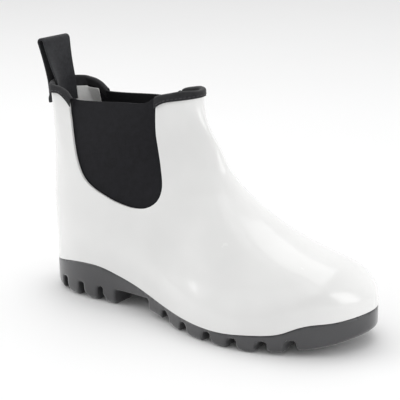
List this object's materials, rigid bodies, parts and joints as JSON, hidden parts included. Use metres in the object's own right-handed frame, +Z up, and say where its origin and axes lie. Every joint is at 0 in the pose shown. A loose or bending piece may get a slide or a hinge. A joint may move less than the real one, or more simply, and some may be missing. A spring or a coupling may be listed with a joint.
{
  "type": "chelsea rain boot",
  "caption": "Ankle-high pull-on rain boot with a moulded shell, elastic side panels, a lugged sole and a webbing pull loop at the back.",
  "frame": {"origin": "middle of the bounding box's underside, on the floor the boot stands on", "axes": "+X from the heel to the toe, +Y to the inner side of the foot, +Z up"},
  "size_m": [0.2876, 0.1036, 0.1967],
  "materials": {
    "sole": "satin dark grey moulded PVC",
    "shell": "glossy white moulded PVC",
    "elastic": "matte black elastic jersey",
    "tape": "matte dark binding tape",
    "webbing": "matte dark woven webbing",
    "label": "blank white woven patch",
    "insole": "matte grey foam with a cloth top"
  },
  "bodies": {
    "root": {"outsole": "sole", "upper": "shell", "gore_lateral": "elastic", "gore_medial": "elastic", "binding_front": "tape", "binding_back": "tape", "pull_loop": "webbing", "lining_label": "label", "insole": "insole"}
  },
  "joints": []
}
